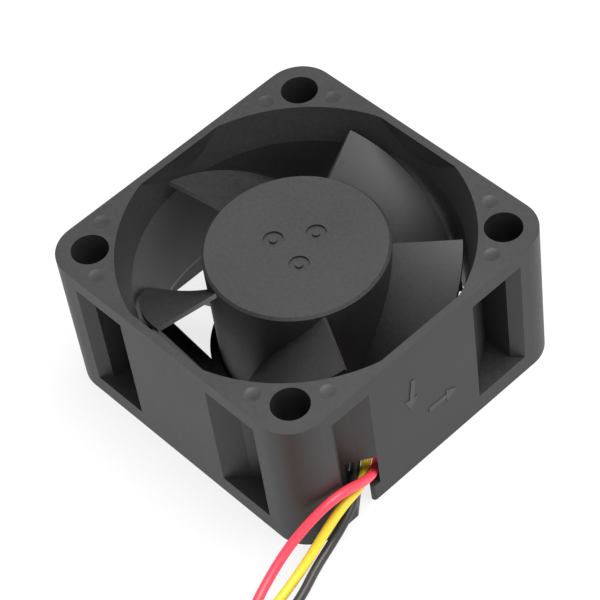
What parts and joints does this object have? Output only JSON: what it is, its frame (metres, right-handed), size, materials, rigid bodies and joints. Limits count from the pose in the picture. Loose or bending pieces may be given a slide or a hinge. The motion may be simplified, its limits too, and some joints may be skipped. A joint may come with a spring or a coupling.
{
  "type": "cooling fan",
  "caption": "Small square axial cooling fan with a five-bladed impeller on an external-rotor motor, through screw holes in the corners and a three-wire lead.",
  "frame": {"origin": "middle of the exit face, on the impeller's axis", "axes": "+Z along the impeller's axis towards the inlet; +X and +Y square to the frame's sides, with the wire window in the +X side near its -Y corner"},
  "size_m": [0.0716, 0.0632, 0.02],
  "materials": {
    "black_plastic": "matt moulded, glass filled",
    "brass": "turned",
    "bearing_steel": "ground",
    "spring_steel": "plain",
    "zinc_steel": "zinc plated",
    "cage_plastic": "moulded",
    "magnet": "bonded ferrite",
    "lamination_steel": "stamped and stacked",
    "insulator_plastic": "moulded",
    "copper": "enamelled wire",
    "tinned_metal": "tinned",
    "board": "solder resist",
    "chip_black": "moulded",
    "ceramic": "fired",
    "black_insulation": "satin",
    "yellow_insulation": "satin",
    "red_insulation": "satin",
    "tie_plastic": "moulded",
    "plug_plastic": "moulded"
  },
  "bodies": {
    "housing": {"frame": "black_plastic", "bearing_tube": "brass", "lower_outer_ring": "bearing_steel", "upper_outer_ring": "bearing_steel", "stator_core": "lamination_steel", "upper_insulator": "insulator_plastic", "lower_insulator": "insulator_plastic", "windings": "copper", "terminal_pins": "tinned_metal", "circuit_board": "board", "wire_ends": "tinned_metal", "solder_joints": "tinned_metal", "driver_chip": "chip_black", "chip_legs": "tinned_metal", "capacitors": "ceramic", "resistors": "chip_black", "black_wire": "black_insulation", "yellow_wire": "yellow_insulation", "red_wire": "red_insulation", "black_wire_end": "black_insulation", "yellow_wire_end": "yellow_insulation", "red_wire_end": "red_insulation", "stored_coil": "red_insulation", "wire_tie": "tie_plastic", "plug_housing": "plug_plastic", "plug_terminals": "tinned_metal"},
    "rotor": {"impeller": "black_plastic", "rotor_yoke": "zinc_steel", "magnet_ring": "magnet", "shaft": "bearing_steel", "retaining_ring": "spring_steel", "thrust_washer": "cage_plastic", "preload_spring": "spring_steel", "lower_inner_ring": "bearing_steel", "upper_inner_ring": "bearing_steel"},
    "lower_ball_row": {"lower_balls": "bearing_steel", "lower_cage": "bearing_steel"},
    "upper_ball_row": {"upper_balls": "bearing_steel", "upper_cage": "bearing_steel"}
  },
  "joints": [
    {"name": "rotor_spin", "type": "hinge", "parent": "housing", "child": "rotor", "pos_m": [0, 0, 0.01], "axis": [0, 0, 1], "continuous": true},
    {"name": "lower_ball_orbit", "type": "hinge", "parent": "housing", "child": "lower_ball_row", "pos_m": [0, 0, 0.003], "axis": [0, 0, 1], "continuous": true},
    {"name": "upper_ball_orbit", "type": "hinge", "parent": "housing", "child": "upper_ball_row", "pos_m": [0, 0, 0.0135], "axis": [0, 0, 1], "continuous": true}
  ],
  "couplings": [
    {"joint": "lower_ball_orbit", "follows": "rotor_spin", "ratio": 0.375},
    {"joint": "upper_ball_orbit", "follows": "rotor_spin", "ratio": 0.375}
  ]
}
